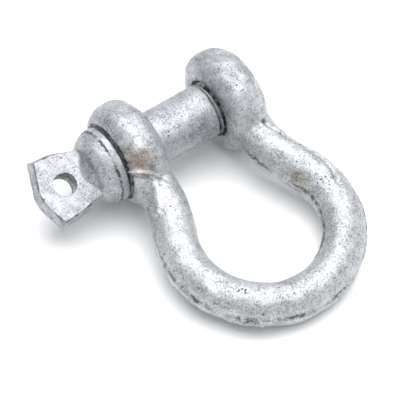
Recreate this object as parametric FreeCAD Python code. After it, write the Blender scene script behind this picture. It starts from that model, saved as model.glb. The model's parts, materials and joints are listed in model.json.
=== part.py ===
import FreeCAD, Part
import math
import os

from FreeCAD import Vector

# Screw-pin bow shackle, half-inch size, hot-dip galvanised. Millimetres.
# The pin axis is Y and passes through the origin, midway between the ears. The screw's
# head is on -Y and the tapped ear on +Y. The crown of the bow is on +X. Z is up: the
# finished part lies on its two ears and its crown, as it does on a table.

# Driving dimensions of the bow
BAR_D = 12.5
JAW = 21.0
EAR_THICK = 13.2
EAR_OD = 31.2
EAR_EDGE_OUT = 5.0
EAR_EDGE_IN = 4.4
CROWN_R = 24.0
CROWN_X = 40.5
NECK_R = 38.0
LEG_ROOT = 11.0
CREASE_R = 1.5

# Driving dimensions of the screw pin
PIN_D = 16.25
JOURNAL_D = 16.7
JOURNAL_CLEAR = 0.4
SHANK_END = 9.0
SHANK_ROUND = 0.6
COLLAR_D = 23.0
COLLAR_THICK = 5.0
COLLAR_ROUND = 1.8
COLLAR_GAP = 0.3
NECK_TOP_D = 19.0
NECK_END = 34.0
LUG_THICK = 6.8
LUG_DRAFT = 1.1
LUG_OFF = -1.0
LUG_NECK_HALF = 7.7
LUG_TIP_HALF = 10.6
LUG_CORNER = 45.4
LUG_TIP = 48.6
LUG_TURN = 18.0
EYE_D = 6.8
EYE_Y = 39.6
PIN_PAST_EAR = 1.0
PIN_CHAMFER = 1.2

# Screw thread: five-eighths coarse, eleven to the inch, right-handed
THREAD_D = 15.875
PITCH = 25.4 / 11
THREAD_DEPTH = 1.25
THREAD_CLEAR = 0.15
THREAD_PHASE = 8.0
COUNTERSINK_D = 17.6

# Sizes that follow from them
BAR_R = BAR_D / 2
EAR_R = EAR_OD / 2
LEG_Y = (JAW + EAR_THICK) / 2
FACE_IN = JAW / 2
FACE_OUT = JAW / 2 + EAR_THICK
CROWN_REACH = CROWN_X + CROWN_R
REST_TILT = math.degrees(math.asin((EAR_R - BAR_R) / CROWN_REACH))
COLLAR_FACE = -(FACE_OUT + COLLAR_GAP)
COLLAR_BACK = COLLAR_FACE - COLLAR_THICK
THREAD_R = THREAD_D / 2
THREAD_END = FACE_OUT + PIN_PAST_EAR
FLANK = math.tan(math.radians(30))

ORIGIN = Vector(0, 0, 0)
AXIS_X = Vector(1, 0, 0)
AXIS_Y = Vector(0, 1, 0)


def rod(radius, y_from, y_to):
    """A cylinder along the pin axis."""
    return Part.makeCylinder(radius, y_to - y_from, Vector(0, y_from, 0), AXIS_Y)


def cone(r_from, r_to, y_from, y_to):
    """A cone along the pin axis."""
    return Part.makeCone(r_from, r_to, y_to - y_from, Vector(0, y_from, 0), AXIS_Y)


def rims(solid, y, radius):
    """The circular edges of one radius that lie at height y on the pin axis."""
    found = []
    for edge in solid.Edges:
        if not isinstance(edge.Curve, Part.Circle):
            continue
        same_height = abs(edge.Curve.Center.y - y) < 1e-6
        if same_height and abs(edge.Curve.Radius - radius) < 1e-6:
            found.append(edge)
    return found


def arc_about(centre, radius, angle_from, angle_to):
    """An arc in the bow's plane, from one angle to another in radians."""
    points = []
    for angle in (angle_from, (angle_from + angle_to) / 2, angle_to):
        points.append(centre + Vector(radius * math.cos(angle), radius * math.sin(angle), 0))
    return Part.Arc(*points).toShape()


def bow_path():
    """The bar's centre line: straight legs, reverse-curved necks and a round crown."""
    crown = Vector(CROWN_X, 0, 0)
    neck_y = LEG_Y + NECK_R
    neck_x = CROWN_X - math.sqrt((CROWN_R + NECK_R) ** 2 - neck_y**2)
    turn = math.atan2(neck_y, neck_x - CROWN_X)
    leg_right = Part.makeLine(Vector(LEG_ROOT, LEG_Y, 0), Vector(neck_x, LEG_Y, 0))
    neck_right = arc_about(Vector(neck_x, neck_y, 0), NECK_R, -math.pi / 2, turn - math.pi)
    round_crown = arc_about(crown, CROWN_R, turn, -turn)
    neck_left = arc_about(Vector(neck_x, -neck_y, 0), NECK_R, math.pi - turn, math.pi / 2)
    leg_left = Part.makeLine(Vector(neck_x, -LEG_Y, 0), Vector(LEG_ROOT, -LEG_Y, 0))
    return Part.Wire([leg_right, neck_right, round_crown, neck_left, leg_left])


def ear(side):
    """One forged ear: a thick disc with a full outer edge and a tighter one by the jaw."""
    inner, outer = side * FACE_IN, side * FACE_OUT
    disc = rod(EAR_R, min(inner, outer), max(inner, outer))
    disc = disc.makeFillet(EAR_EDGE_OUT, rims(disc, outer, EAR_R))
    return disc.makeFillet(EAR_EDGE_IN, rims(disc, inner, EAR_R))


def helical_turn(r_in, r_out, half_in, half_out):
    """One turn of a right-handed strip of trapezoid section around the pin axis."""
    corners = [
        Vector(r_in, 0, -half_in),
        Vector(r_out, 0, -half_out),
        Vector(r_out, 0, half_out),
        Vector(r_in, 0, half_in),
    ]
    section = Part.makePolygon(corners + corners[:1])
    helix = Part.makeHelix(PITCH, PITCH, (r_in + r_out) / 2)
    turn = Part.Wire(helix.Edges).makePipeShell([section], True, True)
    turn.rotate(ORIGIN, AXIS_X, -90)
    return turn


def cut_thread(solid, turn, y_start, y_end):
    """Cut a helical groove turn by turn, from one height on the pin axis past another."""
    for count in range(math.ceil((y_end - y_start) / PITCH) + 1):
        step = turn.copy()
        step.translate(Vector(0, y_start + count * PITCH, 0))
        solid = solid.cut(step)
    return solid


def tooth_half(radius):
    """Half the axial width of the pin's thread tooth at a radius."""
    return PITCH / 16 + (THREAD_R - radius) * FLANK


def tap(body):
    """Drill, countersink and tap the far ear."""
    drill_r = THREAD_R - THREAD_DEPTH + THREAD_CLEAR
    sink_r = COUNTERSINK_D / 2
    depth = sink_r - drill_r
    hole = rod(drill_r, FACE_IN - 1, FACE_OUT + 1)
    sink_in = cone(sink_r, drill_r, FACE_IN, FACE_IN + depth)
    sink_out = cone(drill_r, sink_r, FACE_OUT - depth, FACE_OUT)
    body = body.cut(hole.fuse([sink_in, sink_out]))
    r_in = drill_r - THREAD_CLEAR
    r_out = THREAD_R + THREAD_CLEAR
    ease = THREAD_CLEAR / math.cos(math.radians(30))
    turn = helical_turn(r_in, r_out, tooth_half(r_in) + ease, tooth_half(r_out) + ease)
    return cut_thread(body, turn, THREAD_PHASE, FACE_OUT)


def creases(body):
    """The edges where the round legs run into the ears."""
    found = []
    for edge in body.Edges:
        box = edge.BoundBox
        off_axis = box.XMin > LEG_ROOT - 1 and box.XMax < EAR_R + 2
        if off_axis and not isinstance(edge.Curve, (Part.Circle, Part.Line)):
            found.append(edge)
    return found


def bow():
    """The forged bow: bar, two ears, a plain hole in one and a tapped hole in the other."""
    path = bow_path()
    section = Part.Wire(Part.makeCircle(BAR_R, Vector(LEG_ROOT, LEG_Y, 0), AXIS_X))
    bar = path.makePipeShell([section], True, False)
    body = bar.fuse([ear(-1), ear(1)])
    body = body.makeFillet(CREASE_R, creases(body))
    body = body.cut(rod(JOURNAL_D / 2 + JOURNAL_CLEAR, -FACE_OUT - 1, 0))
    return tap(body)


def lug_outline(inset, lift):
    """The lug's fan-shaped outline, a little off the axis, drawn in by the draft and lifted."""
    root = LUG_NECK_HALF - inset
    tip = LUG_TIP_HALF - inset
    start = Vector(LUG_OFF + root, COLLAR_BACK + 1, lift)
    corner = Vector(LUG_OFF + tip, -LUG_CORNER + inset, lift)
    end = Vector(LUG_OFF, -LUG_TIP + inset, lift)
    other = Vector(LUG_OFF - tip, -LUG_CORNER + inset, lift)
    back = Vector(LUG_OFF - root, COLLAR_BACK + 1, lift)
    edges = [
        Part.makeLine(start, corner),
        Part.Arc(corner, end, other).toShape(),
        Part.makeLine(other, back),
        Part.makeLine(back, start),
    ]
    return Part.Wire(edges)


def pin_head():
    """The head: collar, tapering neck and the flat lug with its eye."""
    half = LUG_THICK / 2
    middle = lug_outline(0, 0)
    upper = Part.makeLoft([middle, lug_outline(LUG_DRAFT, half)], True, True)
    lower = Part.makeLoft([lug_outline(LUG_DRAFT, -half), middle], True, True)
    eye = Part.makeCylinder(EYE_D / 2, LUG_THICK + 2, Vector(0, -EYE_Y, -half - 1))
    lug = upper.fuse(lower).cut(eye)
    lug.rotate(ORIGIN, AXIS_Y, LUG_TURN)
    collar = rod(COLLAR_D / 2, COLLAR_BACK, COLLAR_FACE)
    collar = collar.makeFillet(COLLAR_ROUND, rims(collar, COLLAR_BACK, COLLAR_D / 2))
    neck = cone(half, NECK_TOP_D / 2, -NECK_END, COLLAR_BACK)
    return collar.fuse([neck, lug])


def pin_shank():
    """The plain round of the pin: a journal in the near ear and the bearing part in the jaw."""
    step_from, step_to = -FACE_IN - 0.3, -FACE_IN + 0.2
    journal = rod(JOURNAL_D / 2, COLLAR_FACE, step_from)
    step = cone(JOURNAL_D / 2, PIN_D / 2, step_from, step_to)
    plain = rod(PIN_D / 2, step_to, SHANK_END)
    plain = plain.makeFillet(SHANK_ROUND, rims(plain, SHANK_END, PIN_D / 2))
    return journal.fuse([step, plain])


def pin_thread():
    """The threaded end, cut with the same helix as the tapped ear."""
    blank = rod(THREAD_R, SHANK_END, THREAD_END)
    blank = blank.makeChamfer(PIN_CHAMFER, rims(blank, THREAD_END, THREAD_R))
    r_in = THREAD_R - THREAD_DEPTH
    r_out = THREAD_R + THREAD_CLEAR
    gap = PITCH / 2
    turn = helical_turn(r_in, r_out, gap - tooth_half(r_in), gap - tooth_half(r_out))
    return cut_thread(blank, turn, THREAD_PHASE - gap, THREAD_END)


def save(name, solid):
    """Tilt a piece to the way the shackle lies and write it."""
    solid.rotate(ORIGIN, AXIS_Y, REST_TILT)
    solid.exportStep(f"parts/{name}.step")
    box = solid.BoundBox
    size = f"{box.XLength:.1f} x {box.YLength:.1f} x {box.ZLength:.1f}"
    print(f"{name}: {len(solid.Solids)} solid, valid {solid.isValid()}, {size} mm, {solid.Volume:.0f} mm3")


os.makedirs("parts", exist_ok=True)
save("bow", bow())
save("pin_head", pin_head())
save("pin_shank", pin_shank())
save("pin_thread", pin_thread())
print(f"rest tilt {REST_TILT:.2f} degrees, floor at z = {-EAR_R:.2f}")
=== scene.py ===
# %% [markdown]
# # A galvanised bow shackle
# A bow shackle is two forgings: a round bar bent to a bow with a fat ear at each end, and
# a screw pin with a collar and a flat lug. Both were dipped in molten zinc. The packed
# model gives every place and size, and here the two forgings are modelled again with the
# lumps, seams and mottled skin that dipping leaves.

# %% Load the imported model
import json
import math
import bmesh
import bpy
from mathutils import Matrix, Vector


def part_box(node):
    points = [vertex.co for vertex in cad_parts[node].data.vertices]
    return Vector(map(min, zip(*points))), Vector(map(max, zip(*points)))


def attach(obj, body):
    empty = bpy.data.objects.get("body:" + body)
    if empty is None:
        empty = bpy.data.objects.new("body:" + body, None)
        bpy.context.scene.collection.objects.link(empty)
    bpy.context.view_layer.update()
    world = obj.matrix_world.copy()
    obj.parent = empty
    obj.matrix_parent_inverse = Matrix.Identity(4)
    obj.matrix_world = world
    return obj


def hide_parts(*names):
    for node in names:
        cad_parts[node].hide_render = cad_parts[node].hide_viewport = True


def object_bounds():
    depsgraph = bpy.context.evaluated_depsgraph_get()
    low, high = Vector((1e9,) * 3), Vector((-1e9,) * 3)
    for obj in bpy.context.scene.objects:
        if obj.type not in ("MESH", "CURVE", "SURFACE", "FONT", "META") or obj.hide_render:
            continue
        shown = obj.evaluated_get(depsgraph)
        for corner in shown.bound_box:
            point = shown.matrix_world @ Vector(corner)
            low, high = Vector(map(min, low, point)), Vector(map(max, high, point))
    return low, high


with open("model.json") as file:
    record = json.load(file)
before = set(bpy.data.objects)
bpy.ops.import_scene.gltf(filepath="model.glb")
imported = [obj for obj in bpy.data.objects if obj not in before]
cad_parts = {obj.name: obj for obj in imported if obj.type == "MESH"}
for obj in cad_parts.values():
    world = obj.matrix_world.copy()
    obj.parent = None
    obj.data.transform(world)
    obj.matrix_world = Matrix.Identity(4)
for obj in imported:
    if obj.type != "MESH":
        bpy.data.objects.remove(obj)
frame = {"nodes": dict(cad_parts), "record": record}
cad_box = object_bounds()
print("nodes:", sorted(frame["nodes"]))

# %% [markdown]
# ## Sizes
# The shackle lies on its two ears and its crown, so the bow's plane slopes a little. It is
# easier to model it flat and tilt each finished piece at the end. The crown's mount gives
# the slope and the bow's inside reach, and the boxes give the bar and the ears. What the
# frame doesn't state is the shackle's drawing: its jaw and its two bends.

# %% Sizes from the frame, in metres
mounts = {mount["name"]: mount for mount in frame["record"]["mounts"]}
crown_x, _, crown_z = mounts["crown"]["pos_m"]
slope = math.atan2(-crown_z, crown_x)
inside_reach = math.hypot(crown_x, crown_z)
bow_low, bow_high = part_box("bow")
ear_r = -bow_low[2]
collar_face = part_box("pin_head")[1][1]
ear_face = -collar_face - 0.0003
bar_r = (bow_high[0] - inside_reach * math.cos(slope)) / (1 + math.cos(slope))
pin_r = mounts["pin_shank"]["dims"]["r_mm"] / 1000
lug_lean = math.atan2(mounts["lug_eye"]["axis"][0], mounts["lug_eye"]["axis"][2]) - slope
eye_y = mounts["lug_eye"]["pos_m"][1]
eye_r = mounts["lug_eye"]["dims"]["r_mm"] / 1000
pin_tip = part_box("pin_thread")[1][1]
lug_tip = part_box("pin_head")[0][1]

jaw_half = 0.0105
leg_y = (jaw_half + ear_face) / 2
crown_r = 0.0240
crown_centre = inside_reach + bar_r - crown_r
neck_r = 0.0380
neck_y = leg_y + neck_r
neck_x = crown_centre - math.sqrt((crown_r + neck_r) ** 2 - neck_y**2)
neck_turn = math.atan2(neck_y, neck_x - crown_centre)
print(f"bar {2000 * bar_r:.2f} mm, ears {2000 * ear_r:.2f} mm, slope {math.degrees(slope):.2f} deg")

# %% [markdown]
# ## Helpers
# Operators act on whatever is selected, and the loaded nodes come in selected. These few
# helpers deselect, pick faces or edges by a test on their middle, and apply a modifier.

# %% Small helpers
ALONG_PIN = (math.pi / 2, 0, 0)


def leave_all():
    """Go to object mode with nothing selected."""
    if bpy.context.object and bpy.context.object.mode != "OBJECT":
        bpy.ops.object.mode_set(mode="OBJECT")
    bpy.ops.object.select_all(action="DESELECT")


def only(piece):
    """Make one piece selected and active."""
    leave_all()
    piece.select_set(True)
    bpy.context.view_layer.objects.active = piece


def begin(name):
    """Name the primitive just added and bake its place into its mesh."""
    piece = bpy.context.object
    piece.name = name
    bpy.ops.object.transform_apply(location=True, rotation=True, scale=True)
    return piece


def edit(piece):
    """Open a piece in edit mode with nothing selected."""
    only(piece)
    bpy.ops.object.mode_set(mode="EDIT")
    bpy.ops.mesh.select_mode(type="VERT")
    bpy.ops.mesh.select_all(action="DESELECT")


def pick(piece, kind, test):
    """In edit mode, select the faces or edges whose middle passes a test."""
    bpy.ops.mesh.select_mode(type=kind)
    bpy.ops.mesh.select_all(action="DESELECT")
    mesh = bmesh.from_edit_mesh(piece.data)
    for part in mesh.faces if kind == "FACE" else mesh.edges:
        middle = sum((v.co for v in part.verts), Vector()) / len(part.verts)
        if test(middle):
            part.select_set(True)
    mesh.select_flush_mode()
    bmesh.update_edit_mesh(piece.data)


def finish_with(piece, kind, **settings):
    """Add a modifier with these settings and apply it."""
    only(piece)
    modifier = piece.modifiers.new(kind.title(), kind)
    for key, value in settings.items():
        setattr(modifier, key, value)
    bpy.ops.object.modifier_apply(modifier=modifier.name)


def combine(piece, other, how):
    """Join, cut or trim a piece with another solid, which is used up."""
    finish_with(piece, "BOOLEAN", operation=how, object=other, solver="EXACT")
    bpy.data.objects.remove(other)


def weigh(piece, name, weight):
    """Give a piece a vertex group whose weight is a function of place."""
    group = piece.vertex_groups.new(name=name)
    for vertex in piece.data.vertices:
        amount = weight(vertex.co)
        if amount > 0.003:
            group.add([vertex.index], min(1.0, amount), "REPLACE")
    return name


def band(value, middle, half, soft):
    """1 inside a band about a middle value, falling smoothly to 0 outside it."""
    far = (abs(value - middle) - half) / soft
    if far <= 0:
        return 1.0
    return 0.0 if far >= 1 else 1 - far * far * (3 - 2 * far)


print("half way out of a band:", band(1.5, 0.0, 1.0, 1.0))

# %% [markdown]
# ## The bar of the bow
# The bow starts as a round bar. In the forge it is bent over a former, so here a ring of
# points the size of the bar is drawn along the same path: a short straight leg, a reverse
# bend at the neck, the round crown, and the same again. Extrude and Spin do that without a
# curve object, and leave an even mesh.

# %% Bend the bar
leave_all()
leg_root = 0.0110
bpy.ops.mesh.primitive_circle_add(
    vertices=48,
    radius=bar_r,
    fill_type="NOTHING",
    location=(leg_root, leg_y, 0),
    rotation=(0, math.pi / 2, 0),
)
bow = begin("bow_forging")
bpy.ops.object.mode_set(mode="EDIT")
bpy.ops.mesh.select_all(action="SELECT")
bend = neck_turn - math.pi / 2
bpy.ops.mesh.extrude_region_move(TRANSFORM_OT_translate={"value": (neck_x - leg_root, 0, 0)})
bpy.ops.mesh.spin(steps=22, angle=-bend, center=(neck_x, neck_y, 0), axis=(0, 0, 1))
bpy.ops.mesh.spin(steps=110, angle=2 * neck_turn, center=(crown_centre, 0, 0), axis=(0, 0, 1))
bpy.ops.mesh.spin(steps=22, angle=-bend, center=(neck_x, -neck_y, 0), axis=(0, 0, 1))
bpy.ops.mesh.extrude_region_move(TRANSFORM_OT_translate={"value": (leg_root - neck_x, 0, 0)})
bpy.ops.mesh.edge_face_add()
pick(bow, "EDGE", lambda at: abs(at.x - leg_root) < 1e-5 and at.y > 0)
bpy.ops.mesh.edge_face_add()
bpy.ops.mesh.select_all(action="SELECT")
bpy.ops.mesh.normals_make_consistent(inside=False)
leave_all()
print("bar:", len(bow.data.polygons), "faces")

# %% [markdown]
# ## The ears
# Each ear is a thick disc whose two rims the die rounded almost to half circles. No two
# rims came out alike, so each has a bevel of its own width. Where a leg grows out of its
# ear the metal is thicker, like a knuckle. Sculpting could add that, but an egg joined to
# the bar can be measured, and the smoothing of the next step melts it in.

# %% Shape the two ears
knuckle_x, knuckle_y, knuckle_z = 0.0133, 0.0180, -0.0004
knuckle_half = (0.0080, 0.0056, 0.0080)
knuckle_waist = 0.0145


def ear(side, outer_width, inner_width):
    """One ear: a disc across the pin's axis with its two rims rounded."""
    leave_all()
    bpy.ops.mesh.primitive_cylinder_add(
        vertices=96,
        radius=ear_r,
        depth=ear_face - jaw_half,
        location=(0, side * leg_y, 0),
        rotation=ALONG_PIN,
    )
    disc = begin("ear")
    edit(disc)
    for face_y, width in ((ear_face, outer_width), (jaw_half, inner_width)):
        rim_y = side * face_y
        pick(disc, "EDGE", lambda at: abs(at.y - rim_y) < 1e-5 and math.hypot(at.x, at.z) > 0.9 * ear_r)
        bpy.ops.mesh.bevel(offset=width, segments=8, affect="EDGES")
    leave_all()
    return disc


def knuckle(side):
    """The thick root where a leg grows out of its ear: an egg, narrower towards the leg."""
    leave_all()
    bpy.ops.mesh.primitive_uv_sphere_add(
        segments=64,
        ring_count=40,
        radius=1,
        location=(knuckle_x, side * knuckle_y, knuckle_z),
        scale=knuckle_half,
    )
    egg = begin("knuckle")
    edit(egg)
    pick(egg, "FACE", lambda at: at.x > knuckle_waist)
    bpy.ops.transform.resize(value=(1.0, 0.93, 0.86), center_override=(knuckle_waist, side * leg_y, 0))
    leave_all()
    return egg


for side, outer_width, inner_width in ((-1, 0.0055, 0.0061), (1, 0.0065, 0.0050)):
    combine(bow, ear(side, outer_width, inner_width), "UNION")
    combine(bow, knuckle(side), "UNION")
print("bar with ears:", len(bow.data.polygons), "faces")

# %% [markdown]
# ## One forging
# Bar and ears leave the hammer as one lump, with soft hollows where they meet. A voxel
# remesh turns the joined solids into one even skin, and a Smooth modifier weighted to the
# roots of the ears rubs the joints into hollows. A second, light smoothing takes the voxel
# steps off everything.

# %% Make it one skin
def at_root(co):
    """Weight of a point by how near it is to where a leg leaves its ear."""
    off_axis = math.hypot(co.x, co.z)
    return band(off_axis, 0.0150, 0.0014, 0.0030) * band(co.x, 0.0160, 0.0050, 0.0030)


bow_voxel = 0.00042
finish_with(bow, "REMESH", mode="VOXEL", voxel_size=bow_voxel)
finish_with(bow, "SMOOTH", factor=0.5, iterations=12, vertex_group=weigh(bow, "root", at_root))
finish_with(bow, "SMOOTH", factor=0.5, iterations=4)
print("one skin:", len(bow.data.polygons), "faces")

# %% [markdown]
# ## Marks of the dies
# The two dies never meet exactly, so a low step runs round the bar along their parting
# line, in the bow's own plane. To mark a place on a bent bar, it helps to say how far along
# it lies and how far it leans out from the top, so helpers for that come first. Displace
# then moves the skin along its normal, by a vertex group that holds a weight for the place.

# %% Places on the bar
UP = Vector((0, 0, 1))


def bar_line(x):
    """Centre of the bar at a place along the shackle, and which way is out of the loop."""
    joint = neck_x + (crown_centre - neck_x) * neck_r / (neck_r + crown_r)
    if x < neck_x:
        return Vector((x, leg_y, 0)), Vector((0, 1, 0))
    if x < joint:
        centre = Vector((x, neck_y - math.sqrt(neck_r**2 - (x - neck_x) ** 2), 0))
        return centre, (Vector((neck_x, neck_y, 0)) - centre).normalized()
    centre = Vector((x, math.sqrt(crown_r**2 - (x - crown_centre) ** 2), 0))
    return centre, (centre - Vector((crown_centre, 0, 0))).normalized()


def skin(side, x, lean):
    """A point on the skin of a leg: how far along, and degrees leaning out from the top."""
    centre, out = bar_line(x)
    lean = math.radians(lean)
    spot = centre + bar_r * (math.sin(lean) * out + math.cos(lean) * UP)
    return Vector((spot.x, side * spot.y, spot.z))


def crown_skin(turn, lean):
    """A point on the skin of the crown, by degrees round it from its middle."""
    return skin(math.copysign(1, turn), crown_centre + crown_r * math.cos(math.radians(turn)), lean)


def along(co, points, half, soft):
    """1 on a line through some points, falling to 0 beside it."""
    nearest = 1.0
    for start, end in zip(points, points[1:]):
        share = max(0.0, min(1.0, (co - start).dot(end - start) / (end - start).length_squared))
        nearest = min(nearest, (co - start - share * (end - start)).length)
    return band(nearest, 0.0, half, soft)


print("top of the crown:", [round(1000 * v, 1) for v in crown_skin(-0.01, 0)])

# %% Parting line
def parting(co):
    """Height of the parting line on the bar, which wanders a little as it goes round."""
    return 0.0009 + 0.0004 * math.sin(co.x * 130 + co.y * 90) + 0.0001 * math.sin(co.x * 610 + co.y * 450)


def worn(co):
    """How much of the parting line is left here: it comes and goes along the bar."""
    left = 0.6 + 0.4 * math.sin(co.y * 420 + co.x * 160)
    return left * min(1.0, max(0.0, (co.x - 0.0165) / 0.0040))


def under_step(co):
    """Weight of a point on the low step that hangs under the parting line."""
    left = worn(co)
    return (0.5 + 0.5 * left) * min(1.0, 2 * left) * band(co.z, parting(co) - 0.0034, 0.0030, 0.0006)


finish_with(bow, "DISPLACE", strength=0.00036, mid_level=0, vertex_group=weigh(bow, "step", under_step))
print("parting line made")

# %% [markdown]
# ## Lip, ridge, seam and drips
# Four single marks make this shackle itself. On the front leg the metal was pushed up into
# a lip where knuckle and ear meet, and a ridge runs on along the leg. The other leg has a
# seam, a fold that never closed, and zinc set in drips on the crown's outer side. Each is a
# line on the skin, raised or sunk by the same weighted Displace, and easier to move than a
# cut.

# %% Lip, ridge, seam and drips
def off_lip(co, above):
    """Distance from the lip, or from a line some degrees above it, round the front ear."""
    share = (co.y + ear_face) / (ear_face - leg_y)
    bearing = math.atan2(co.z, co.x) - math.radians(40 - 16 * share * share + above)
    return bearing * math.hypot(co.x, co.z)


def front_ear(co):
    """1 on the outer half of the front ear, outside the pin's seat."""
    return band(co.y, -0.0206, 0.0034, 0.0010) * band(math.hypot(co.x, co.z), 0.0140, 0.0040, 0.0005)


# The ridge leans out along the front leg. The seam leans out to the waist and back.
ridge = [skin(-1, x / 1000, 15 + 3.3 * (x - 15)) for x in range(15, 25, 3)]
seam = [skin(1, x / 1000, 12 + 30 * math.sin(math.pi * (x - 14) / 28)) for x in range(14, 43, 4)]
drips = [(crown_skin(turn, 80), crown_skin(turn + 2, 86)) for turn in (-45, -36, -27)]

for name, strength, weight in (
    ("lip", 0.0010, lambda co: front_ear(co) * band(off_lip(co, 0), 0.0, 0.0001, 0.0008)),
    ("ridge", 0.0006, lambda co: along(co, ridge, 0.0003, 0.0016)),
    ("drips", 0.0010, lambda co: max(along(co, drip, 0.0004, 0.0008) for drip in drips)),
    ("seam", -0.0005, lambda co: along(co, seam, 0.0002, 0.0007)),
):
    finish_with(bow, "DISPLACE", strength=strength, mid_level=0, vertex_group=weigh(bow, name, weight))
print("die marks made")

# %% [markdown]
# ## Lumpy zinc
# Molten zinc sets in lumps a few millimetres across, with finer grains on them. Two
# Displace modifiers with cloud textures raise them. The marks are small, but they break
# the outline and the gloss, which a bump in the material alone can't.

# %% Lumps in the skin
def lumps(name, size, depth):
    """A cloud texture whose blobs have this size."""
    clouds = bpy.data.textures.new(name, "CLOUDS")
    clouds.noise_scale = size
    clouds.noise_depth = depth
    return clouds


runs = lumps("runs", 0.0060, 1)
grains = lumps("grains", 0.0012, 2)
finish_with(bow, "DISPLACE", texture=runs, texture_coords="LOCAL", strength=0.00060, mid_level=0.72)
finish_with(bow, "DISPLACE", texture=grains, texture_coords="LOCAL", strength=0.00016, mid_level=0.5)
print("skin raised")

# %% [markdown]
# ## The thread
# The far ear is tapped and the pin's end is threaded, right-handed, eleven turns to the
# inch. One tooth's outline is drawn, and a Screw modifier winds it round the pin's axis.
# The same winding makes the pin's thread and, a little fatter, the tap that cuts the ear,
# so the two are sure to match. A bump can't do it, because the pin comes out.

# %% Wind a thread
pitch = 0.0254 / 11
thread_r = 0.015875 / 2
thread_depth = 0.00125
first_tooth = 0.0080
flank = math.tan(math.radians(30))
tap_ease = 0.00015


def shear(plate, through, normal):
    """Cut a plate along a line and keep the side behind the line's normal."""
    edit(plate)
    bpy.ops.mesh.select_all(action="SELECT")
    bpy.ops.mesh.bisect(plane_co=through, plane_no=normal, clear_outer=True, use_fill=True)
    leave_all()


def threaded_rod(name, fatter, y_from, y_to):
    """A rod with the thread wound round it, thicker by a margin all round."""
    root, tip = thread_r - thread_depth + fatter, thread_r + fatter
    ease = fatter / math.cos(math.radians(30))
    root_half = pitch / 16 + (thread_r - root) * flank + ease
    tip_half = pitch / 16 + (thread_r - tip) * flank + ease
    skipped = math.floor((y_from - first_tooth) / pitch) - 1
    outline = [
        (root, -pitch / 2),
        (root, -root_half),
        (tip, -tip_half),
        (tip, tip_half),
        (root, root_half),
        (root, pitch / 2),
    ]
    leave_all()
    bpy.ops.mesh.primitive_plane_add(size=0.001, location=(root, first_tooth + (skipped - 0.5) * pitch, 0))
    rod = begin(name)
    edit(rod)
    bpy.ops.mesh.select_all(action="SELECT")
    bpy.ops.mesh.merge(type="CENTER")
    for here, there in zip(outline, outline[1:]):
        step = (there[0] - here[0], there[1] - here[1], 0)
        bpy.ops.mesh.extrude_vertices_move(TRANSFORM_OT_translate={"value": step})
    finish_with(
        rod,
        "SCREW",
        axis="Y",
        angle=2 * math.pi,
        screw_offset=pitch,
        iterations=math.ceil((y_to - y_from) / pitch) + 3,
        steps=72,
        render_steps=72,
    )
    edit(rod)
    bpy.ops.mesh.select_all(action="SELECT")
    bpy.ops.mesh.remove_doubles(threshold=1e-6)
    leave_all()
    shear(rod, (0, y_from, 0), (0, -1, 0))
    shear(rod, (0, y_to, 0), (0, 1, 0))
    edit(rod)
    bpy.ops.mesh.select_all(action="SELECT")
    bpy.ops.mesh.normals_make_consistent(inside=False)
    leave_all()
    return rod


def round_bar(name, radius, y_from, y_to):
    """A plain cylinder along the pin's axis."""
    leave_all()
    bpy.ops.mesh.primitive_cylinder_add(
        vertices=96,
        radius=radius,
        depth=y_to - y_from,
        location=(0, (y_from + y_to) / 2, 0),
        rotation=ALONG_PIN,
    )
    return begin(name)


tap = threaded_rod("tap", tap_ease, 0.0060, 0.0280)
print("tap:", len(tap.data.polygons), "faces")

# %% [markdown]
# ## Drill and tap the ears
# The near ear has a plain hole. The far ear is drilled to the thread's root, countersunk
# on both faces and tapped. The drills are cylinders, with a cone joined on for each
# countersink. They cut after the skin is done, so that the machined edges stay crisp.

# %% Cut the holes
plain_hole_r = 0.00875
drill_ease = 0.0001
sink_in_r, sink_out_r = 0.0090, 0.0088


def countersink(drill, face_y, wide_r):
    """Widen a drill to a cone where it passes a face of the ear."""
    narrow = thread_r - thread_depth
    deep = wide_r - narrow
    leave_all()
    bpy.ops.mesh.primitive_cone_add(vertices=96, radius1=wide_r + 0.001, radius2=narrow, depth=deep + 0.001)
    cone = begin("countersink")
    side = 1 if face_y > leg_y else -1
    cone.rotation_euler = (side * math.pi / 2, 0, 0)
    cone.location.y = face_y + side * (0.001 - deep) / 2
    only(cone)
    bpy.ops.object.transform_apply(location=True, rotation=True, scale=True)
    combine(drill, cone, "UNION")


combine(bow, round_bar("plain_drill", plain_hole_r, -0.030, 0.0), "DIFFERENCE")
tap_drill = round_bar("tap_drill", thread_r - thread_depth + drill_ease, 0.0, 0.030)
countersink(tap_drill, jaw_half, sink_in_r)
countersink(tap_drill, ear_face, sink_out_r)
combine(bow, tap_drill, "DIFFERENCE")
combine(bow, tap, "DIFFERENCE")
print("bow drilled:", len(bow.data.polygons), "faces")

# %% [markdown]
# ## The pin's lug
# The lug is a thick plate, sheared to a fan that is widest near its tip, with an eye
# through it. A plane is cut by bisecting, one straight cut at a time as a shear would, and
# then extruded up and down. The faces are drawn in a little, as the forging die's draft
# leaves them. Each cut is told by where it passes and by the way its waste side faces.

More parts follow.
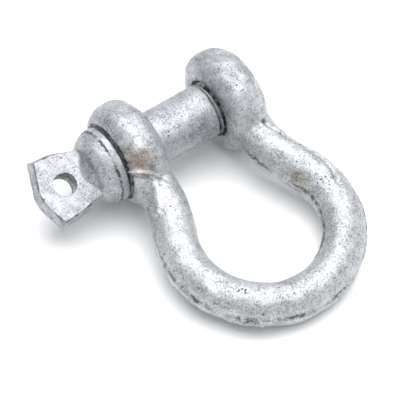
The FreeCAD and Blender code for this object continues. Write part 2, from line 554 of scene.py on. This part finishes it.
# %% Shear the lug
lug_half = 0.0034
lug_root = -0.0330
leave_all()
bpy.ops.mesh.primitive_plane_add(size=0.030, location=(0, -0.0420, 0))
head = begin("head_forging")
for across, out, facing in (
    (-0.0108, -0.0446, 176),
    (-0.0103, -0.0381, 160),
    (0.0106, -0.0450, 5),
    (0.0100, -0.0391, 11),
    (-0.0102, -0.0455, 251),
    (0.0, lug_tip, 270),
    (0.0104, -0.0462, 287),
):
    facing = math.radians(facing)
    shear(head, (across, out, 0), (math.cos(facing), math.sin(facing), 0))
for lift in (lug_half, -lug_half):
    edit(head)
    pick(head, "FACE", lambda at: abs(at.z) < 1e-5)
    bpy.ops.mesh.extrude_region_move(TRANSFORM_OT_translate={"value": (0, 0, lift)})
    bpy.ops.transform.resize(value=(0.90, 0.935, 1), center_override=(0.0, lug_root, lift))
    leave_all()
edit(head)
bpy.ops.mesh.select_all(action="SELECT")
bpy.ops.mesh.normals_make_consistent(inside=False)
leave_all()
print("lug:", len(head.data.polygons), "faces")

# %% [markdown]
# ## Collar, neck and shank
# The collar has a thin rim and a long, flattening cone behind it, which come from
# extruding the back face twice and narrowing it each time. Neck and shank are turned
# shapes, so each is a cone or cylinder on the pin's axis. All of them are joined before a
# finer remesh, because the pin was forged in one heat too, and a weighted Smooth melts the
# neck into the lug and the collar.

# %% Build up the pin
head.rotation_euler = (0, lug_lean, 0)
only(head)
bpy.ops.object.transform_apply(location=False, rotation=True, scale=False)

rim_back = -0.0266
collar_r = 0.0115
collar = round_bar("collar", collar_r, rim_back, collar_face)
edit(collar)
pick(collar, "FACE", lambda at: abs(at.y - rim_back) < 1e-5)
bpy.ops.transform.resize(value=(0.965, 1, 0.965), center_override=(0, 0, 0))
for narrower, longer in ((0.91, 0.0024), (0.80, 0.0022)):
    bpy.ops.mesh.extrude_region_move(TRANSFORM_OT_translate={"value": (0, -longer, 0)})
    bpy.ops.transform.resize(value=(narrower, 1, narrower), center_override=(0, 0, 0))
pick(collar, "EDGE", lambda at: abs(at.y - collar_face) < 1e-5 and math.hypot(at.x, at.z) > 0.011)
bpy.ops.mesh.bevel(offset=0.0007, segments=2, affect="EDGES")
leave_all()
combine(head, collar, "UNION")

neck_wide_r = 0.0096
neck_length = 0.0052
leave_all()
bpy.ops.mesh.primitive_cone_add(
    vertices=96,
    radius1=lug_half,
    radius2=neck_wide_r,
    depth=neck_length,
    location=(0, -0.0314, 0),
    rotation=(-math.pi / 2, 0, 0),
)
combine(head, begin("neck"), "UNION")
shank_end = 0.0090
journal_r = pin_r + 0.00022
combine(head, round_bar("journal", journal_r, collar_face - 0.001, -jaw_half), "UNION")
combine(head, round_bar("shank", pin_r, -0.0115, shank_end), "UNION")
print("pin blank:", len(head.data.polygons), "faces")


def at_neck(co):
    """Weight of a point by how near it is to the neck between lug and collar."""
    return band(co.y, -0.0318, 0.0026, 0.0022) * band(math.hypot(co.x, co.z), 0.0, 0.0098, 0.0010)


pin = head
pin.name = "screw_pin"
pin_voxel = 0.00031
finish_with(pin, "REMESH", mode="VOXEL", voxel_size=pin_voxel)
finish_with(pin, "SMOOTH", factor=0.5, iterations=24, vertex_group=weigh(pin, "neck", at_neck))
finish_with(pin, "SMOOTH", factor=0.5, iterations=3)
finish_with(pin, "DISPLACE", texture=runs, texture_coords="LOCAL", strength=0.00030, mid_level=0.6)
finish_with(pin, "DISPLACE", texture=grains, texture_coords="LOCAL", strength=0.00014, mid_level=0.5)
print("pin skin:", len(pin.data.polygons), "faces")

# %% [markdown]
# ## Eye and thread of the pin
# The eye is punched after forging, so it is cut now. The threaded end is wound like the
# tap, trimmed to length by a chamfered blank, and it starts just inside the shank so that
# the two join without a seam.

# %% Punch the eye and add the thread
leave_all()
bpy.ops.mesh.primitive_cylinder_add(vertices=72, radius=eye_r, depth=0.012, location=(0, eye_y, 0))
punch = begin("punch")
punch.rotation_euler = (0, lug_lean, 0)
only(punch)
bpy.ops.object.transform_apply(location=False, rotation=True, scale=False)
combine(pin, punch, "DIFFERENCE")

thread = threaded_rod("thread", 0.0, 0.0080, pin_tip + 0.001)
blank = round_bar("blank", thread_r, 0.0084, pin_tip)
edit(blank)
pick(blank, "EDGE", lambda at: abs(at.y - pin_tip) < 1e-5)
bpy.ops.mesh.bevel(offset=0.0012, segments=2, affect="EDGES")
leave_all()
combine(thread, blank, "INTERSECT")
combine(pin, thread, "UNION")
print("pin with thread:", len(pin.data.polygons), "faces")

# %% [markdown]
# ## Where shade is painted
# Painted shade darkens the crease above the parting line, the seam, the corner behind the
# collar's rim, the gap round its seat and the thread, the tapped hole, the lug's sheared
# sides and edges, and the hollows under and above the front lip; the one above also holds a
# brown stain. A texture can't know those places, so each mesh stores a value for every
# point, in an attribute that the material reads later. It is written before the pieces are
# tilted, while places are still simple to state.

# %% Paint the shade
def paint(piece, name, amount):
    """Store a value at every point of a piece, as a function of place and normal."""
    layer = piece.data.attributes.new(name, "FLOAT", "POINT")
    for vertex, value in zip(piece.data.vertices, layer.data):
        value.value = amount(vertex.co, vertex.normal)


def bow_shade_and_dirt(co, normal):
    """Painted shade over the parting line, in seam and tapped hole, round the pin's seat and under the lip,
    and darkening in the hollow above the lip, partly its brown stain.
    """
    # Each term but the valley is painted shade in a crease, hole or gap; the valley above the lip is partly
    # painted shade, partly its brown stain.
    line = worn(co) * band(co.z, parting(co) + 0.0003, 0.0002, 0.0007)
    valley = front_ear(co) * band(off_lip(co, 10), 0.0, 0.0005, 0.0016)
    under = front_ear(co) * band(off_lip(co, -8), 0.0, 0.0001, 0.0007)
    out = math.hypot(co.x, co.z)
    hole = band(out, 0.0078, 0.0011, 0.0002) * band(co.y, 0.0130, 0.0026, 0.0003)
    seat = band(out, 0.0114, 0.0003, 0.0003) * band(co.y, -ear_face, 0.0004, 0.0003)
    fold = along(co, seam, 0.0003, 0.0006)
    return max(line, 0.8 * fold, 0.5 * valley, 0.5 * under, 1.6 * hole, 2.2 * seat)


def pin_painted_shade(co, normal):
    """Painted shade behind the collar's rim, in the thread and round the lug's sheared edge."""
    out = math.hypot(co.x, co.z)
    rim = band(co.y, rim_back + 0.0001, 0.0001, 0.0004) * band(out, 0.0114, 0.0006, 0.0002)
    # The lug's sheared sides and edges are darkened by the way they face, which is painted shade.
    facing = abs(normal.x * math.sin(lug_lean) + normal.z * math.cos(lug_lean))
    sheared = band(facing, 0.35, 0.45, 0.15) * band(co.y, -0.0440, 0.0080, 0.0010)
    edge = band(facing, 0.72, 0.16, 0.10) * band(co.y, -0.0440, 0.0080, 0.0010)
    root = band(co.y, 0.0164, 0.0070, 0.0003) * band(out, thread_r - thread_depth, 0.0002, 0.0006)
    return max(1.7 * rim, 1.6 * root, 0.25 * sheared, 0.8 * edge)


# Store the painted shade, and the stain in the hollow above the front lip, on both meshes.
paint(bow, "shade_and_dirt", bow_shade_and_dirt)
paint(pin, "shade_and_dirt", pin_painted_shade)
print("dirt painted on", [piece.name for piece in (bow, pin)])

# %% [markdown]
# ## Tilt both forgings
# Both pieces were modelled with the bow flat. They are turned about the pin's axis to the
# slope at which the shackle lies, and the turn is applied, so each object stays at the
# origin, unturned. Shading is smooth except across real edges.

# %% Lay the shackle down
for piece, body, nodes, slot in (
    (bow, "bow", ["bow"], "bow_zinc"),
    (pin, "pin_turning", ["pin_head", "pin_shank", "pin_thread"], "pin_zinc"),
):
    piece.rotation_euler = (0, slope, 0)
    only(piece)
    bpy.ops.object.transform_apply(location=False, rotation=True, scale=False)
    bpy.ops.object.shade_smooth_by_angle(angle=math.radians(38))
    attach(piece, body)
    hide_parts(*nodes)
print("laid down, lowest point", round(1000 * min(v.co.z for v in bow.data.vertices), 2), "mm")

# %% [markdown]
# ## The zinc
# Hot-dip zinc is a satin metal with a mottled skin: pale where it set thick and bright,
# grey where the iron came through, with grains under half a millimetre that glitter, and
# pits that hold dirt. Everything is read from Object coordinates turned to the bow's own
# plane and scaled to millimetres, so the sizes below are real ones.

# %% Node helpers
def add(tree, kind, inputs=None, **settings):
    """Add a shader node, set it up and join its inputs."""
    made = tree.nodes.new("ShaderNode" + kind)
    for key, value in settings.items():
        setattr(made, key, value)
    for key, value in (inputs or {}).items():
        if isinstance(value, bpy.types.NodeSocket):
            tree.links.new(value, made.inputs[key])
        else:
            made.inputs[key].default_value = value
    return made


def sums(tree, how, first, second):
    """One step of arithmetic between sockets or numbers."""
    return add(tree, "Math", {0: first, 1: second}, operation=how).outputs[0]


def ease_in(tree, value, low, high, to_low=0.0, to_high=1.0):
    """Map a value smoothly from one range to another."""
    settings = {"Value": value, "From Min": low, "From Max": high, "To Min": to_low, "To Max": to_high}
    return add(tree, "MapRange", settings, interpolation_type="SMOOTHSTEP").outputs[0]


def cloud(tree, at, scale, detail=4.0, roughness=0.6, distortion=0.0):
    """A noise value whose features are about one over its scale, in millimetres."""
    settings = {"Vector": at, "Scale": scale, "Detail": detail, "Roughness": roughness}
    return add(tree, "TexNoise", {**settings, "Distortion": distortion}).outputs[0]


def near(tree, at, place, reach):
    """1 at a place, falling to 0 at a ragged distance of about this reach."""
    gap = add(tree, "VectorMath", {0: at, 1: 1000 * place}, operation="DISTANCE").outputs["Value"]
    ragged = sums(tree, "MULTIPLY", cloud(tree, at, 0.35), 1.4 * reach)
    return ease_in(tree, sums(tree, "ADD", gap, ragged), 1.6 * reach, 0.9 * reach)


def blend(tree, how, share, first, second):
    """Mix two colours, the second of which is plain, by a share."""
    layer = add(tree, "Mix", {0: share, 6: first, 7: (*second, 1)}, data_type="RGBA", blend_type=how)
    return layer.outputs[2]


print("node helpers defined")

# %% Mix the zinc
def zinc(name, dark, middle, pale, stains, pitted):
    """A galvanised skin with its own tones, and with stains and pits at some places."""
    material = bpy.data.materials.new(name)
    material.use_nodes = True
    tree = material.node_tree
    shader = tree.nodes["Principled BSDF"]
    here = add(tree, "TexCoord").outputs["Object"]
    turned = {"Vector": here, "Rotation": (0, -slope, 0), "Scale": (1000, 1000, 1000)}
    at = add(tree, "Mapping", turned).outputs[0]

    broad = cloud(tree, at, 0.085, 3.0)
    mottle = cloud(tree, at, 0.34, 5.0, 0.6, 0.4)
    speck = cloud(tree, at, 1.9, 4.0, 0.8)
    tone = sums(tree, "ADD", sums(tree, "MULTIPLY", mottle, 0.20), sums(tree, "MULTIPLY", speck, 0.66))
    tone = sums(tree, "ADD", tone, sums(tree, "MULTIPLY", broad, 0.14))
    ramp = add(tree, "ValToRGB", {"Fac": tone})
    ramp.color_ramp.elements[0].position = 0.39
    ramp.color_ramp.elements[0].color = (*dark, 1)
    ramp.color_ramp.elements[1].position = 0.61
    ramp.color_ramp.elements[1].color = (*pale, 1)
    ramp.color_ramp.elements.new(0.49).color = (*middle, 1)
    colour = ramp.outputs["Color"]

    cells = add(tree, "TexVoronoi", {"Vector": at, "Scale": 1.05}, feature="F1")
    chosen = add(tree, "SeparateColor", {0: cells.outputs["Color"]}).outputs[0]
    for place, reach in pitted:
        chosen = sums(tree, "ADD", chosen, sums(tree, "MULTIPLY", near(tree, at, place, reach), 0.60))
    bottom = ease_in(tree, cells.outputs["Distance"], 0.36, 0.12)
    pits_and_shade = sums(tree, "MULTIPLY", bottom, ease_in(tree, sums(tree, "ADD", chosen, mottle), 1.48, 1.54))
    # The painted shade stored on each mesh joins the real pits here, and both are mixed towards near black.
    shade_and_dirt = add(tree, "Attribute", attribute_name="shade_and_dirt").outputs["Fac"]
    ragged = sums(tree, "MULTIPLY", shade_and_dirt, ease_in(tree, cloud(tree, at, 0.5, 4.0), 0.40, 0.60, 0.1, 1.1))
    pits_and_shade = sums(tree, "MINIMUM", sums(tree, "MAXIMUM", pits_and_shade, ragged), 1.0)
    colour = blend(tree, "MIX", sums(tree, "MULTIPLY", pits_and_shade, 0.88), colour, (0.035, 0.035, 0.038))
    for place, reach, tint in stains:
        colour = blend(tree, "MULTIPLY", near(tree, at, place, reach), colour, tint)
    tree.links.new(colour, shader.inputs["Base Color"])

    shader.inputs["Metallic"].default_value = 0.68
    tree.links.new(ease_in(tree, mottle, 0.3, 0.7, 0.54, 0.40), shader.inputs["Roughness"])
    height = sums(tree, "ADD", sums(tree, "MULTIPLY", mottle, 0.5), sums(tree, "MULTIPLY", speck, 0.6))
    height = sums(tree, "SUBTRACT", height, pits_and_shade)
    bump = add(tree, "Bump", {"Height": height, "Strength": 0.7, "Distance": 0.00035})
    tree.links.new(bump.outputs[0], shader.inputs["Normal"])
    return material


def ear_spot(bearing, share):
    """A place on the front ear's rim, by degrees above the bow's plane and share of its radius."""
    bearing = math.radians(bearing)
    return Vector((share * ear_r * math.cos(bearing), -leg_y - 0.0035, share * ear_r * math.sin(bearing)))


bow.data.materials.clear()
bow.data.materials.append(
    zinc(
        "bow_zinc_skin",
        (0.17, 0.176, 0.186),
        (0.44, 0.448, 0.46),
        (0.62, 0.63, 0.645),
        [
            (Vector((-0.004, -leg_y, 0.008)), 20.0, (0.82, 0.83, 0.855)),
            (Vector((-0.004, leg_y, 0.008)), 20.0, (0.72, 0.73, 0.745)),
            (ear_spot(50, 0.9), 7.0, (0.74, 0.62, 0.54)),
            (skin(1, 0.033, -52), 5.0, (0.88, 0.82, 0.72)),
        ],
        [
            (crown_skin(-46, 0), 6.0),
            (crown_skin(-34, 78), 7.0),
            (skin(1, 0.040, 14), 7.0),
            (skin(1, 0.024, 30), 6.0),
            (skin(-1, 0.038, 78), 7.0),
        ],
    )
)
pin.data.materials.clear()
neck_top = Vector((0.0, -0.0316, 0.0055))
pin.data.materials.append(
    zinc("pin_zinc_skin", (0.16, 0.166, 0.18), (0.37, 0.38, 0.40), (0.53, 0.54, 0.56), [], [(neck_top, 6.5)])
)
print("materials:", [m.name for m in bpy.data.materials])

# %% [markdown]
# ## Floor and light
# A small part like this is shot on white paper under one big soft light. The light hangs
# almost overhead and a little behind, so that each round bar has one broad highlight and a
# soft shadow falls towards the viewer. A pale world fills the shadows.

# %% Floor
leave_all()
bpy.ops.mesh.primitive_plane_add(size=6, location=(0, 0, cad_box[0][2]))
floor = begin("paper")
paper = bpy.data.materials.new("white_paper")
paper.use_nodes = True
paper.node_tree.nodes["Principled BSDF"].inputs["Base Color"].default_value = (0.93, 0.93, 0.93, 1)
paper.node_tree.nodes["Principled BSDF"].inputs["Roughness"].default_value = 0.9
floor.data.materials.append(paper)
print("floor at", round(1000 * cad_box[0][2], 2), "mm")

# %% Lights
def softbox(name, place, aim, size, power):
    """A square area light aimed at a point."""
    leave_all()
    bpy.ops.object.light_add(type="AREA", location=place)
    lamp = bpy.context.object
    lamp.name = name
    lamp.data.shape = "SQUARE"
    lamp.data.size = size
    lamp.data.energy = power
    lamp.rotation_euler = (Vector(aim) - Vector(place)).to_track_quat("-Z", "Y").to_euler()
    return lamp


softbox("softbox_over", (-0.08, 0.22, 1.20), (0, 0, 0), 1.6, 29)
world = bpy.data.worlds.new("studio")
bpy.context.scene.world = world
world.use_nodes = True
world.node_tree.nodes["Background"].inputs["Color"].default_value = (0.96, 0.99, 1.03, 1)
world.node_tree.nodes["Background"].inputs["Strength"].default_value = 0.60
bpy.context.scene.view_settings.view_transform = "Standard"

# %% [markdown]
# ## Camera
# The shackle is seen from over its front leg, a little more than half way up. The camera
# stands far off with a long lens, so that near and far ear look nearly the same size.

# %% Camera
azimuth, elevation = math.radians(55.0), math.radians(52.6)
distance = 0.8945
back = Vector((
    math.sin(azimuth) * math.cos(elevation), -math.cos(azimuth) * math.cos(elevation), math.sin(elevation)
))
aim = Vector((0.01755, -0.00470, -0.01304))
leave_all()
bpy.ops.object.camera_add(location=aim + distance * back)
camera = bpy.context.object
camera.rotation_euler = (-back).to_track_quat("-Z", "Y").to_euler()
camera.data.sensor_width = 36
camera.data.lens = 281.8
bpy.context.scene.camera = camera
print("camera at", [round(v, 3) for v in camera.location])
